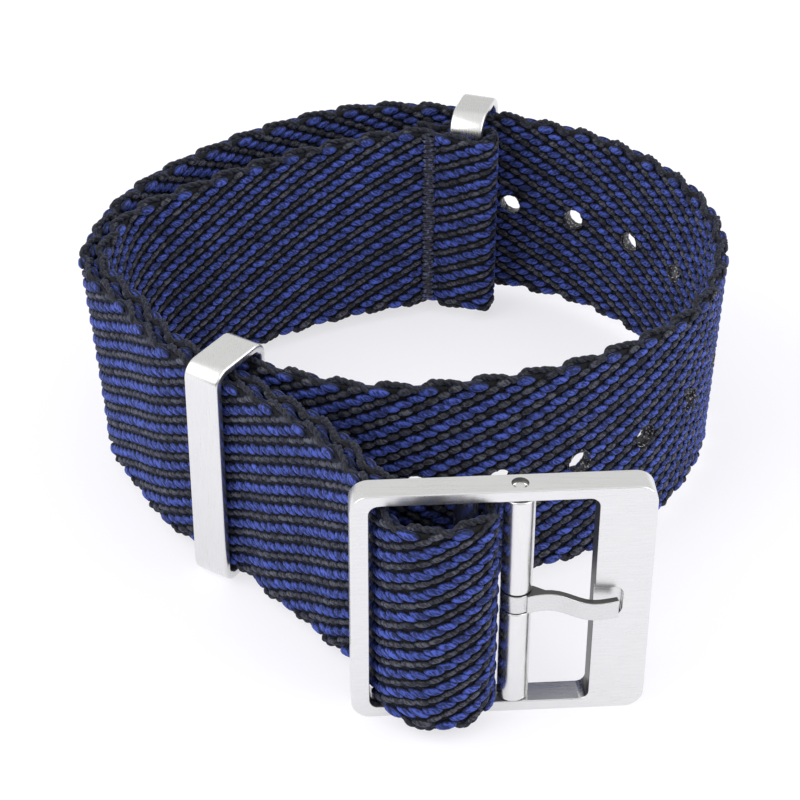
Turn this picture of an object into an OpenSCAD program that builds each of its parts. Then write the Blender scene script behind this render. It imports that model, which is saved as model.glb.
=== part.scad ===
// Woven watch strap: one band folded through a tongue buckle, a keeper and a rear ring.
// The closed strap stands on its edge. X runs to the right, Y to the back and Z up.
// The origin lies on the ground, under the middle of the loop.

/* [Band] */
// Width of the woven band
band_w = 20; // [16:1:24]
// Thickness of one layer of the band
band_t = 1.2; // [1:0.1:1.4]
// Gap between two layers that lie together
layer_gap = 0.15; // [0.1:0.05:0.25]
// Number of punched holes
hole_count = 11; // [5:1:11]
// Distance between two holes
hole_pitch = 7.3; // [5:0.1:7.4]
// Diameter of a punched hole
hole_d = 2; // [1.6:0.1:2.6]
// Distance from the tip of the band to the first hole
first_hole = 16.9; // [16:0.1:18]
// Length of the tip that reaches past the keeper
tip_past = 1.3; // [0.8:0.1:1.6]

/* [Loop] */
// Reach of the loop to the right of the origin, to the middle of the band
loop_right = 28.9; // [27:0.1:31]
// Reach of the loop to the left of the origin, to the middle of the band
loop_left = 28.9; // [28:0.1:31]
// Distance from the origin forward to the tail, to the middle of the band
tail_front = 15.9; // [15:0.1:17]
// Distance from the origin back to the middle of the band
loop_back = 34.8; // [34:0.1:36]

/* [Keeper] */
// Length of the keeper along the band
keeper_len = 3.5; // [3:0.1:4]
// Thickness of the keeper's strip
keeper_wall = 0.8; // [0.6:0.1:1]
// Free depth inside the keeper, across the layers
keeper_depth = 5.4; // [5.2:0.1:6]
// Outer corner radius of the keeper
keeper_r = 1.5; // [1:0.1:2]
// Gap between the front of the band and the keeper
keeper_gap = 0.7; // [0.5:0.1:0.9]
// Angle at which the loose keeper sits on the band
keeper_skew = 9; // [0:1:9]
// Travel of the keeper along the band
keeper_travel = 3; // [1:0.5:3]

/* [Rear ring] */
// Length of the ring along the band
ring_len = 3.3; // [3:0.1:4]
// Thickness of the ring's strip
ring_wall = 0.8; // [0.6:0.1:1]
// Free depth inside the ring, across the layers
ring_depth = 5.2; // [5:0.1:6]
// Outer corner radius of the ring
ring_r = 1.8; // [1:0.1:2.5]
// Gap above and below the band inside the ring, together
ring_edge_gap = 1.2; // [0.8:0.1:2]
// Gap between the band and the ring's back wall
ring_gap = 0.2; // [0.15:0.05:0.3]
// Gap between the sewn pocket and the ring's front wall
pocket_gap = 0.2; // [0.15:0.05:0.3]
// Distance from the ring's middle to the seam
seam_back = 3.7; // [3.5:0.1:4.5]
// Length of cut band behind the seam
end_len = 1.6; // [1:0.1:2]
// Number of stitches in the seam
stitch_count = 9; // [6:1:12]
// Width of a stitch along the band
stitch_len = 1.3; // [1:0.1:1.6]
// Thickness of the thread
thread_d = 0.35; // [0.3:0.05:0.5]

/* [Buckle] */
// Turn of the buckle, its right end to the back
buckle_yaw = 4; // [2:0.5:6]
// Thickness of the frame
frame_t = 2.3; // [2.2:0.1:2.6]
// Height of the top and bottom rails
rail_h = 1; // [0.9:0.1:1.4]
// Width of the left bar
left_bar_w = 1.5; // [1.2:0.1:1.8]
// Distance from the left bar to the axis of the strap bar
bar_in = 7.7; // [7.5:0.1:9]
// Distance from the strap bar to the spring bar, between axes
bar_pitch = 4.2; // [4.1:0.1:5]
// Width of the right window, from the sleeves to the plate
right_window = 4.9; // [4.6:0.1:6]
// Width of the solid plate
plate_w = 4.6; // [4:0.1:6]
// Outer corner radius of the frame
frame_r = 1.6; // [1:0.1:2]
// Corner radius of the windows
window_r = 0.8; // [0.5:0.1:1]
// Gap above and below the band inside the metal pieces, together
edge_gap = 0.8; // [0.6:0.1:1.2]
// Diameter of the fixed strap bar
strap_bar_d = 2; // [1.6:0.1:2.2]
// Diameter of the strap bar's pressed ends
bar_end_d = 1; // [0.8:0.1:1.2]
// Depth to which the strap bar's ends are pressed into the rails
bar_end_h = 0.7; // [0.5:0.1:0.8]
// Gap between the band and the strap bar
bar_gap = 0.25; // [0.2:0.05:0.3]
// Gap between the band and the left bar
left_gap = 0.4; // [0.3:0.05:0.5]
// Reach of the folded band ahead of the frame
fold_bulge = 2.75; // [2.5:0.05:3.2]

/* [Spring bar and tongue] */
// Outer diameter of the sleeves and of the tongue's knuckle
sleeve_d = 2.6; // [2.5:0.02:2.9]
// Outer diameter of the spring bar's body
body_d = 1.7; // [1.6:0.05:1.8]
// Bore of the spring bar's body
body_bore = 1.15; // [1.1:0.05:1.25]
// Thickness of the rolled lip at each end of the body
lip_h = 0.4; // [0.3:0.05:0.5]
// Diameter of a tip
tip_d = 0.8; // [0.7:0.05:0.9]
// Depth of a tip in its rail
tip_in = 0.75; // [0.6:0.05:0.8]
// Length of a tip's head inside the body
head_len = 1.5; // [1:0.1:2]
// Diameter of the tool hole over each tip
tool_hole_d = 1.4; // [1.2:0.1:1.6]
// Height of the tongue
tongue_h = 1.75; // [1.5:0.05:2]
// Thickness of the tongue's arm
tongue_t = 0.6; // [0.5:0.05:0.7]
// Reach of the tongue from the spring bar's axis
tongue_len = 8.2; // [8:0.1:8.6]
// Angle at which the loose tongue lies open
tongue_lift = 8; // [0:1:12]
// Length of the notch for the tongue in the plate
notch_len = 2.3; // [2.2:0.1:2.6]
// Height of the notch
notch_h = 2.8; // [2.4:0.1:3.2]
// Corner radius of the notch
notch_r = 0.7; // [0.5:0.1:0.8]
// Radial running gap of pieces that turn or slide on the spring bar
run_gap = 0.05; // [0.03:0.01:0.08]
// Gap at each end of a sleeve
end_gap = 0.1; // [0.08:0.01:0.15]

/* [Hidden] */
$fn = 48;
// Overshoot of a cut past a face
eps = 0.1;

// Heights, from the ground up
inner_h = band_w + edge_gap;
frame_h = inner_h + 2 * rail_h;
band_z = rail_h + edge_gap / 4;
mid_z = frame_h / 2;
band_mid_z = band_z + band_w / 2;

// A pose is [x, y, heading]. Left of the heading is a positive side.
function dir(h) = [cos(h), sin(h)];
function at(p) = [p[0], p[1]];
function shift(p, along, side) = [
  p[0] + along * cos(p[2]) - side * sin(p[2]),
  p[1] + along * sin(p[2]) + side * cos(p[2]),
  p[2]];
function flip(p) = [p[0], p[1], p[2] + 180];
function reversed(list) = [for (i = [len(list) - 1:-1:0]) list[i]];

// A smooth leg from pose p to pose q as a cubic curve, without its last pose
function bezier(a, b, c, d, t) =
  a * pow(1 - t, 3) + 3 * b * t * pow(1 - t, 2) + 3 * c * t * t * (1 - t) + d * pow(t, 3);
function slope(a, b, c, d, t) =
  (b - a) * pow(1 - t, 2) + 2 * (c - b) * t * (1 - t) + (d - c) * t * t;
function leg(p, q) =
  let (
    reach = norm(at(q) - at(p)),
    handle = reach / (3 * pow(cos((q[2] - p[2]) / 4), 2)),
    b = at(p) + handle * dir(p[2]),
    c = at(q) - handle * dir(q[2]),
    n = max(6, ceil(reach / 1.6))
  ) [for (i = [0:n - 1])
      let (
        t = i / n,
        xy = bezier(at(p), b, c, at(q), t),
        v = slope(at(p), b, c, at(q), t)
      ) [xy[0], xy[1], atan2(v[1], v[0])]];

// An arc from pose p, to the left with a positive radius, without its last pose
function arc(p, r, sweep, n) =
  let (c = shift(p, 0, r))
  [for (i = [0:n - 1])
    let (h = p[2] + sweep * i / n) [c[0] + r * sin(h), c[1] - r * cos(h), h]];
function arc_end(p, r, sweep) =
  let (c = shift(p, 0, r), h = p[2] + sweep) [c[0] + r * sin(h), c[1] - r * cos(h), h];

// The buckle's own frame starts at the strap bar's axis and follows the buckle's turn
buckle = [4.6, -31.4, buckle_yaw];
function in_buckle(x, y, h) =
  let (p = shift(buckle, x, y)) [p[0], p[1], buckle_yaw + h];

// Radius at which the middle of the band goes round the strap bar
wrap_r = strap_bar_d / 2 + bar_gap + band_t / 2;
wrap_sweep = 80;
layer_step = band_t + layer_gap;

// Poses of the outer run, from the tip of the tail to the buckle
keeper_at = [-16.4, -13.35, 318];
tail_in_keeper = shift(keeper_at, 0.4, 2 * layer_step + 0.4);
tail_start = [tail_in_keeper[0], tail_in_keeper[1], -26];
tip = shift(tail_start, -tip_past, 0);
tail_low = [0.9, -tail_front, 0];
right_side = [loop_right, 9.1, 90];
ring_at = [7.25, loop_back - 1.3, 163];
back_middle = [-0.6, loop_back, 180];
back_left = [-19.7, 24.5, 225];
flap_leaves = [0.8 - loop_left, 10.4, 258];
left_side = [-loop_left, 5.6, 270];
left_front = [-25.1, -2.3, 303];
keeper_before = shift(keeper_at, -keeper_travel - keeper_len / 2 - 0.3, 0);
keeper_after = shift(keeper_at, keeper_len / 2 + 0.2, 0);
before_buckle = [-8.25, -21.1, 312];
behind_bar = in_buckle(-bar_in - 0.8, 4.9, 294);

// Poses of the fold through the left window
in_window = in_buckle(left_gap + band_t / 2 - bar_in, 0, 276);
fold_front = in_buckle((left_gap + band_t / 2 - bar_in + wrap_r) / 2 - 0.4,
  band_t / 2 - frame_t / 2 - fold_bulge, 360);
beside_bar = in_buckle(wrap_r, 0, 450);
round_bar = arc_end(beside_bar, wrap_r, wrap_sweep);

// Poses of the return flap and of the pocket sewn round the ring's front wall
ring_mid = ring_wall / 2 + ring_depth - ring_gap - band_t / 2;
pocket_back = shift(ring_at, 0, ring_mid);
pocket_mid = [pocket_back[0], pocket_back[1], ring_at[2] - 180];
pocket_r = ring_wall / 2 + pocket_gap + band_t / 2;
flap_left = [-19, 18.7, 40];
flap_mid = [-8.6, 26, 25];
seam_mid = shift(pocket_mid, -seam_back, 0);
seam_turn = -2;
seam_front = shift([seam_mid[0], seam_mid[1], seam_turn], 0, -layer_step / 2);
seam_behind = shift([seam_mid[0], seam_mid[1], seam_turn + 180], 0, -layer_step / 2);
pocket_start = shift(pocket_mid, -ring_len / 2 + 0.4, -pocket_r);
pocket_turn = shift(pocket_mid, ring_len / 2, -pocket_r);
pocket_turned = arc_end(pocket_turn, pocket_r, 180);
pocket_stop = shift(pocket_turned, ring_len - 0.4, 0);

tail = concat([tip], leg(tail_start, tail_low), leg(tail_low, right_side),
  leg(right_side, ring_at), leg(ring_at, back_middle), leg(back_middle, back_left),
  leg(back_left, flap_leaves));
doubled = concat(leg(flap_leaves, left_side), leg(left_side, left_front),
  leg(left_front, keeper_before), [keeper_before], leg(keeper_after, before_buckle),
  leg(before_buckle, behind_bar), [behind_bar]);
fold = concat(leg(behind_bar, in_window), leg(in_window, fold_front),
  leg(fold_front, beside_bar), arc(beside_bar, wrap_r, wrap_sweep, 8));
inner = [for (p = reversed(doubled)) flip(shift(p, 0, layer_step))];
inner_start = [inner[0][0], inner[0][1], behind_bar[2] + 180];
inner_end = inner[len(inner) - 1];
flap_start = [inner_end[0], inner_end[1], flap_leaves[2] - 180];
flap = concat(leg(flap_start, flap_left), leg(flap_left, flap_mid),
  leg(flap_mid, seam_front), leg(seam_front, pocket_start));
sewn = concat([pocket_start], arc(pocket_turn, pocket_r, 180, 12), [pocket_turned],
  leg(pocket_stop, seam_behind), [seam_behind, shift(seam_behind, end_len, 0)]);
without_first = [for (i = [1:len(fold) - 1]) fold[i]];
inner_body = [for (i = [1:len(inner) - 2]) inner[i]];
route = concat(tail, doubled, without_first, leg(round_bar, inner_start), [inner_start],
  inner_body, flap, sewn);

// Distance along the route up to each of its poses
function lengths(list, i = 0, sum = 0, out = []) =
  i == len(list) ? out :
  lengths(list, i + 1, i + 1 < len(list) ? sum + norm(at(list[i + 1]) - at(list[i])) : sum,
    concat(out, [sum]));
run = lengths(route);
function on_route(s) = [
  lookup(s, [for (i = [0:len(route) - 1]) [run[i], route[i][0]]]),
  lookup(s, [for (i = [0:len(route) - 1]) [run[i], route[i][1]]])];
function hole_pose(s) =
  let (a = on_route(s - hole_d), b = on_route(s + hole_d), m = on_route(s))
  [m[0], m[1], atan2(b[1] - a[1], b[0] - a[0])];

module place(p, z) {
  translate([p[0], p[1], z]) rotate([0, 0, p[2]]) children();
}

// A block with round corners seen from the front, centred on x and z
module front_block(w, h, t, r) {
  rotate([90, 0, 0]) {
    for (x = [-1, 1], y = [-1, 1])
      translate([x * (w / 2 - r), y * (h / 2 - r), -t / 2]) cylinder(h = t, r = r);
    cube([w, h - 2 * r, t], center = true);
    cube([w - 2 * r, h, t], center = true);
  }
}

// A strip ring round the band, its length along x and its depth along y
module strip_ring(len, depth, height, wall, r) {
  rotate([0, 0, 90]) difference() {
    front_block(depth + 2 * wall, height + 2 * wall, len, r);
    front_block(depth, height, len + 2 * eps, max(r - wall, wall / 4));
  }
}

module woven_band() {
  color("midnightblue") difference() {
    translate([0, 0, band_z]) linear_extrude(band_w) polygon(concat(
      [for (p = route) at(shift(p, 0, band_t / 2))],
      [for (p = reversed(route)) at(shift(p, 0, -band_t / 2))]));
    for (i = [0:hole_count - 1])
      place(hole_pose(first_hole + i * hole_pitch), band_mid_z)
        rotate([90, 0, 0]) cylinder(h = 2 * band_t, d = hole_d, center = true);
  }
}

// Each stitch goes through both layers and lies over them on either side
module loop_stitching() {
  pitch = band_w / (stitch_count + 1);
  both = 2 * band_t + layer_gap;
  color("black") for (i = [1:stitch_count])
    place([seam_mid[0], seam_mid[1], seam_turn], band_z + i * pitch) {
      for (y = [-1, 1])
        translate([0, y * both / 2, 0])
          cube([stitch_len, 2 * thread_d, pitch * 0.7], center = true);
      for (x = [-1, 1])
        translate([x * (stitch_len - thread_d) / 2, 0, 0])
          rotate([90, 0, 0]) cylinder(h = both, d = thread_d, center = true);
    }
}

keeper_mid_z = inner_h / 2 + keeper_wall;
module front_keeper() {
  across = keeper_depth / 2 - keeper_gap - band_t / 2;
  middle = shift(keeper_at, 0, across);
  color("silver") place([middle[0], middle[1], keeper_at[2] + keeper_skew], keeper_mid_z)
    strip_ring(keeper_len, keeper_depth, inner_h, keeper_wall, keeper_r);
}
module rear_ring() {
  middle = shift(pocket_mid, 0, (ring_depth + ring_wall) / 2);
  inside = band_w + ring_edge_gap;
  color("silver") place(middle, inside / 2 + ring_wall)
    strip_ring(ring_len, ring_depth, inside, ring_wall, ring_r);
}

// Places across the buckle, from the strap bar's axis
frame_left = -bar_in - left_bar_w;
plate_left = bar_pitch + sleeve_d / 2 + right_window;
frame_right = plate_left + plate_w;
tip_bore_d = tip_d + 2 * run_gap;

module buckle_frame() {
  frame_l = frame_right - frame_left;
  window_l = plate_left + bar_in;
  color("gainsboro") place(buckle, 0) difference() {
    translate([(frame_left + frame_right) / 2, 0, mid_z])
      front_block(frame_l, frame_h, frame_t, frame_r);
    translate([(plate_left - bar_in) / 2, 0, mid_z])
      front_block(window_l, inner_h, frame_t + 2 * eps, window_r);
    // Notch in the plate's front face, open to the window
    translate([plate_left, notch_floor - frame_t / 2, mid_z])
      front_block(2 * notch_len, notch_h, frame_t, notch_r);
    // Blind sockets of the strap bar
    for (z = [rail_h - bar_end_h, frame_h - rail_h])
      translate([0, 0, z]) cylinder(h = bar_end_h, d = bar_end_d);
    // Bores of the spring bar's tips, with a wider tool hole outside
    translate([bar_pitch, 0, 0]) {
      translate([0, 0, -eps]) cylinder(h = frame_h + 2 * eps, d = tip_bore_d);
      translate([0, 0, -eps]) cylinder(h = rail_h / 2 + eps, d = tool_hole_d);
      translate([0, 0, frame_h - rail_h / 2]) cylinder(h = rail_h / 2 + eps, d = tool_hole_d);
    }
  }
}

module strap_bar() {
  color("silver") place(buckle, 0) {
    translate([0, 0, rail_h]) cylinder(h = inner_h, d = strap_bar_d);
    translate([0, 0, rail_h - bar_end_h]) cylinder(h = inner_h + 2 * bar_end_h, d = bar_end_d);
  }
}

// The spring bar stands between the rails, and its pieces share these heights
body_z = rail_h + end_gap;
body_h = inner_h - 2 * end_gap;
head_d = body_bore - 2 * run_gap;
spring_z = body_z + lip_h + head_len;
spring_h = body_h - 2 * (lip_h + head_len);

module on_spring_bar(z) {
  place(in_buckle(bar_pitch, 0, 0), z) children();
}

module spring_bar_body() {
  color("silver") on_spring_bar(body_z) difference() {
    cylinder(h = body_h, d = body_d);
    translate([0, 0, lip_h]) cylinder(h = body_h - 2 * lip_h, d = body_bore);
    translate([0, 0, -eps]) cylinder(h = body_h + 2 * eps, d = tip_bore_d);
  }
}

// A tip points up from its head, which the lip of the body holds back
module spring_tip() {
  cylinder(h = head_len, d = head_d);
  cylinder(h = head_len + lip_h + end_gap + tip_in, d = tip_d);
}

module spring_bar_upper_tip() {
  color("silver") on_spring_bar(spring_z + spring_h) spring_tip();
}

module spring_bar_lower_tip() {
  color("silver") on_spring_bar(spring_z) mirror([0, 0, 1]) spring_tip();
}

// The coil spring inside the body, as a thin sleeve of its outer size
module spring_bar_spring() {
  color("dimgray") on_spring_bar(spring_z) difference() {
    cylinder(h = spring_h, d = head_d);
    translate([0, 0, -eps]) cylinder(h = spring_h + 2 * eps, d = head_d * 0.6);
  }
}

sleeve_h = (inner_h - tongue_h) / 2 - 2 * end_gap;
module sleeve() {
  difference() {
    cylinder(h = sleeve_h, d = sleeve_d);
    translate([0, 0, -eps]) cylinder(h = sleeve_h + 2 * eps, d = body_d + 2 * run_gap);
  }
}

module upper_sleeve() {
  color("silver") on_spring_bar(mid_z + tongue_h / 2 + end_gap) sleeve();
}

module lower_sleeve() {
  color("silver") on_spring_bar(mid_z - tongue_h / 2 - end_gap - sleeve_h) sleeve();
}

// The tongue's arm dips into the window, rises over the plate's edge and ends in the notch
arm_root = [0.64 * sleeve_d / 2, -0.7 * sleeve_d / 2, 25];
arm_dip = [2.9, -0.36, 0];
arm_rise = [tongue_len - 2.1, -1.33, 0];
arm_tip = [tongue_len, -0.8, 18];
arm = concat(leg(arm_root, arm_dip), leg(arm_dip, arm_rise), leg(arm_rise, arm_tip), [arm_tip]);
notch_floor = arm_tip[1] + tongue_t / 2 + end_gap;

module tongue() {
  bore_d = body_d + 2 * run_gap;
  color("gainsboro") on_spring_bar(mid_z - tongue_h / 2) rotate([0, 0, -tongue_lift])
    difference() {
      union() {
        cylinder(h = tongue_h, d = sleeve_d);
        linear_extrude(tongue_h) polygon(concat(
          [for (p = arm) at(shift(p, 0, tongue_t / 2))],
          [for (p = reversed(arm)) at(shift(p, 0, -tongue_t / 2))]));
        // Web behind the root of the arm
        linear_extrude(tongue_h)
          polygon([[bore_d / 2, 0.6], at(arm_dip), [bore_d / 2, -0.9]]);
      }
      translate([0, 0, -eps]) cylinder(h = tongue_h + 2 * eps, d = bore_d);
    }
}

woven_band();
loop_stitching();
front_keeper();
rear_ring();
buckle_frame();
strap_bar();
spring_bar_body();
spring_bar_upper_tip();
spring_bar_lower_tip();
spring_bar_spring();
upper_sleeve();
lower_sleeve();
tongue();
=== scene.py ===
# %% [markdown]
# # Woven watch strap
# The strap is closed in a loop and stands on its edge. Its shape, its joints and its sizes come
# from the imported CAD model. This lesson dresses that model: a woven band with a sewn seam and
# melted holes, and brushed steel hardware with soft edges.

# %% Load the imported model
import math
import bmesh
import bpy
from mathutils import Matrix, Vector


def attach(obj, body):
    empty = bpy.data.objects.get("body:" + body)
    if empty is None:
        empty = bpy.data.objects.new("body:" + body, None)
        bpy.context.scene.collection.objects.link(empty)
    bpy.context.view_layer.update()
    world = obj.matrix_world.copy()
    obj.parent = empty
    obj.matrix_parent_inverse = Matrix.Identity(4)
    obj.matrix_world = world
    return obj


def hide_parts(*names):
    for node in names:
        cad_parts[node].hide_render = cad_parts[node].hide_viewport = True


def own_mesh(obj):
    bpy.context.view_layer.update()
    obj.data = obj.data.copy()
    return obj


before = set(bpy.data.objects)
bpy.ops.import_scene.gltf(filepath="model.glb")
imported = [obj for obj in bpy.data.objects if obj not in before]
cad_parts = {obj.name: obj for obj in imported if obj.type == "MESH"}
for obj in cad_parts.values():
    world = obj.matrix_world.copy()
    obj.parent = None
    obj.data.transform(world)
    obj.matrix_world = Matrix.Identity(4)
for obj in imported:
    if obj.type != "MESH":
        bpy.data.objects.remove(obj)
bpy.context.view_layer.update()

MM = 0.001

# %% [markdown]
# ## The camera
# A photograph of a small object is taken from close by, so its perspective is strong. The camera
# stands 210.5 mm from the middle of the strap, 35 degrees above the ground, with a long lens.
# Its place could be found by trial, but a fit to points of known height is exact.

# %% Place the camera
PICTURE = 800  # the picture's width in pixels
FOCUS = 2330.0  # the focal length in the same pixels
SENSOR = 36.0
ELEVATION = math.radians(35.0)
ROLL = 0.004
DISTANCE = 210.5 * MM
TARGET = Vector((-0.6, -3.4, 11.2)) * MM


def linked(name, data):
    """A new object that shows the data, in the scene."""
    made = bpy.data.objects.new(name, data)
    bpy.context.collection.objects.link(made)
    return made


look = Vector((0, math.cos(ELEVATION), -math.sin(ELEVATION)))
right = Vector((1, 0, 0))
up = right.cross(look)
side = right * math.cos(ROLL) + up * math.sin(ROLL)
up = side.cross(look)
camera_data = bpy.data.cameras.new("camera")
camera_data.sensor_width = SENSOR
camera_data.lens = FOCUS / PICTURE * SENSOR
camera_data.clip_start = 0.01
camera_data.clip_end = 10
camera = linked("camera", camera_data)
place = Matrix((side, up, -look)).transposed().to_4x4()
place.translation = TARGET - look * DISTANCE
camera.matrix_world = place
bpy.context.scene.camera = camera
print("lens", round(camera_data.lens, 2), "mm")

# %% [markdown]
# ## Helpers for node trees
# Geometry and shader trees are both graphs of nodes. Adding nodes by hand is long, so one class
# wraps a tree, and another wraps a number in it, so that maths is written as in Python.

# %% A graph and a value in it
class Value:
    """A number that flows through a graph."""

    def __init__(self, graph, socket):
        self.graph = graph
        self.socket = socket

    def op(self, operation, *others):
        return self.graph.math(operation, self, *others)

    def __add__(self, other):
        return self.op("ADD", other)

    __radd__ = __add__

    def __sub__(self, other):
        return self.op("SUBTRACT", other)

    def __rsub__(self, other):
        return self.graph.math("SUBTRACT", other, self)

    def __mul__(self, other):
        return self.op("MULTIPLY", other)

    __rmul__ = __mul__

    def __truediv__(self, other):
        return self.op("DIVIDE", other)

    def __mod__(self, other):
        return self.op("FLOORED_MODULO", other)

    def __gt__(self, other):
        return self.op("GREATER_THAN", other)

    def __lt__(self, other):
        return self.op("LESS_THAN", other)


class Graph:
    """A node tree that is filled by short calls."""

    def __init__(self, tree):
        self.tree = tree

    def feed(self, socket, value):
        if isinstance(value, Value):
            value = value.socket
        if isinstance(value, bpy.types.NodeSocket):
            self.tree.links.new(value, socket)
        else:
            socket.default_value = value

    def node(self, kind, settings=None, values=None):
        made = self.tree.nodes.new(kind)
        for name, setting in (settings or {}).items():
            setattr(made, name, setting)
        for name, value in (values or {}).items():
            self.feed(made.inputs[name], value)
        return made

    def math(self, operation, *numbers):
        made = self.node("ShaderNodeMath", {"operation": operation}, dict(enumerate(numbers)))
        return Value(self, made.outputs[0])

    def larger(self, a, b):
        return self.math("MAXIMUM", a, b)

    def smaller(self, a, b):
        return self.math("MINIMUM", a, b)

    def split(self, vector):
        made = self.node("ShaderNodeSeparateXYZ", values={0: vector})
        return [Value(self, socket) for socket in made.outputs]

    def join(self, x, y, z):
        return self.node("ShaderNodeCombineXYZ", values={0: x, 1: y, 2: z}).outputs[0]

    def step(self, value, low, high):
        """Rises smoothly from 0 to 1 as the value goes from low to high."""
        made = self.node("ShaderNodeMapRange", {"interpolation_type": "SMOOTHSTEP"},
                         {0: value, 1: low, 2: high})
        return Value(self, made.outputs[0])

    def between(self, value, rises, falls):
        """Rises from 0 to 1 between the first two values and falls back between the others."""
        return self.step(value, *rises) * (1 - self.step(value, *falls))

    def noise(self, vector, scale, detail=2.0):
        made = self.node("ShaderNodeTexNoise",
                         values={"Vector": vector, "Scale": scale, "Detail": detail})
        return Value(self, made.outputs[0])


# %% [markdown]
# ## The route of the band
# The real band is one straight length of webbing, woven flat and then led through the hardware.
# A band could be modelled where it lies, but it is easier to weave it flat, as the loom does,
# and to lead the cloth along a route. The route repeats the stations and sizes of the CAD model.
# A station is x, y and a heading, in millimetres and degrees.

# %% Steps along a route
LEG_STEP = 1.6  # length of a step in the CAD model
FINER = 5  # steps here for each step there


def shift(p, along, side):
    turn = math.radians(p[2])
    return (p[0] + along * math.cos(turn) - side * math.sin(turn),
            p[1] + along * math.sin(turn) + side * math.cos(turn), p[2])


def leg(p, q):
    """A smooth cubic from one station to the next, without its last point."""
    reach = math.hypot(q[0] - p[0], q[1] - p[1])
    handle = reach / (3 * math.cos(math.radians(q[2] - p[2]) / 4) ** 2)
    a = Vector(p[:2])
    d = Vector(q[:2])
    b = a + handle * Vector((math.cos(math.radians(p[2])), math.sin(math.radians(p[2]))))
    c = d - handle * Vector((math.cos(math.radians(q[2])), math.sin(math.radians(q[2]))))
    count = max(6, math.ceil(reach / LEG_STEP)) * FINER
    out = []
    for i in range(count):
        t = i / count
        at = a * (1 - t) ** 3 + b * 3 * t * (1 - t) ** 2 + c * 3 * t * t * (1 - t) + d * t ** 3
        way = (b - a) * (1 - t) ** 2 + (c - b) * 2 * t * (1 - t) + (d - c) * t * t
        out.append((at.x, at.y, math.degrees(math.atan2(way.y, way.x))))
    return out


def arc_end(p, radius, sweep):
    x, y, _ = shift(p, 0, radius)
    turn = math.radians(p[2] + sweep)
    return (x + radius * math.sin(turn), y - radius * math.cos(turn), p[2] + sweep)


def arc(p, radius, sweep, count):
    return [arc_end(p, radius, sweep * i / count) for i in range(count)]


# %% The stations and the whole route
BAND_W = 20.0
BAND_T = 1.2
BAND_MID_Z = 11.2
LAYER_STEP = BAND_T + 0.15
LOOP_RIGHT, LOOP_LEFT, LOOP_BACK, TAIL_FRONT = 28.9, 28.9, 34.8, 15.9
BUCKLE = (4.6, -31.4, 4.0)
BAR_IN, FRAME_T, LEFT_GAP, BULGE = 7.7, 2.3, 0.4, 2.75
BAR_R, BAR_GAP, BAR_PITCH = 1.0, 0.25, 4.2
KEEPER_LEN, KEEPER_DEPTH, KEEPER_HEIGHT, KEEPER_R = 3.5, 5.4, 20.8, 1.5
KEEPER_GAP, KEEPER_SKEW, KEEPER_TRAVEL = 0.7, 9, 3
RING_LEN, RING_DEPTH, RING_HEIGHT, RING_R = 3.3, 5.2, 21.2, 2.3
RING_GAP, POCKET_GAP, WALL = 0.2, 0.2, 0.8
SEAM_BACK, SEAM_TURN, END_LEN = 3.7, -2, 1.6
TIP_PAST = 1.3
WRAP_R = BAR_R + BAR_GAP + BAND_T / 2
WRAP_WIDER, WRAP_NEARER = 0.1, 0.3  # the fold runs nearer the sleeves than in the CAD model
WRAP_SWEEP = 80


def in_buckle(x, y, turn):
    p = shift(BUCKLE, x, y)
    return (p[0], p[1], BUCKLE[2] + turn)


keeper_at = (-16.4, -13.35, 318)
tail_in_keeper = shift(keeper_at, 0.4, 2 * LAYER_STEP + 0.4)
tail_start = (tail_in_keeper[0], tail_in_keeper[1], -26)
tip = shift(tail_start, -TIP_PAST, 0)
tail_low = (0.9, -TAIL_FRONT, 0)
right_side = (LOOP_RIGHT, 9.1, 90)
ring_at = (7.25, LOOP_BACK - 1.3, 163)
back_middle = (-0.6, LOOP_BACK, 180)
back_left = (-19.7, 24.5, 225)
flap_leaves = (0.8 - LOOP_LEFT, 10.4, 258)
left_side = (-LOOP_LEFT, 5.6, 270)
left_front = (-25.1, -2.3, 303)
keeper_before = shift(keeper_at, -KEEPER_TRAVEL - KEEPER_LEN / 2 - 0.3, 0)
keeper_after = shift(keeper_at, KEEPER_LEN / 2 + 0.2, 0)
before_buckle = (-8.25, -21.1, 312)
behind_bar = in_buckle(-BAR_IN - 0.8, 4.9, 294)
fold_left = LEFT_GAP + BAND_T / 2 - BAR_IN
in_window = in_buckle(fold_left, 0, 276)
fold_front = in_buckle((fold_left + WRAP_R) / 2 - 0.4, BAND_T / 2 - FRAME_T / 2 - BULGE, 360)
beside_bar = in_buckle(WRAP_R + WRAP_NEARER, 0, 450)
round_bar = arc_end(beside_bar, WRAP_R + WRAP_WIDER, WRAP_SWEEP)
ring_mid = WALL / 2 + RING_DEPTH - RING_GAP - BAND_T / 2
pocket_back = shift(ring_at, 0, ring_mid)
pocket_mid = (pocket_back[0], pocket_back[1], ring_at[2] - 180)
pocket_r = WALL / 2 + POCKET_GAP + BAND_T / 2
flap_left = (-19, 18.7, 40)
flap_mid = (-8.6, 26, 25)
seam_mid = shift(pocket_mid, -SEAM_BACK, 0)
seam_front = shift((seam_mid[0], seam_mid[1], SEAM_TURN), 0, -LAYER_STEP / 2)
seam_behind = shift((seam_mid[0], seam_mid[1], SEAM_TURN + 180), 0, -LAYER_STEP / 2)
pocket_start = shift(pocket_mid, -RING_LEN / 2 + 0.4, -pocket_r)
pocket_turn = shift(pocket_mid, RING_LEN / 2, -pocket_r)
pocket_turned = arc_end(pocket_turn, pocket_r, 180)
pocket_stop = shift(pocket_turned, RING_LEN - 0.4, 0)

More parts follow.
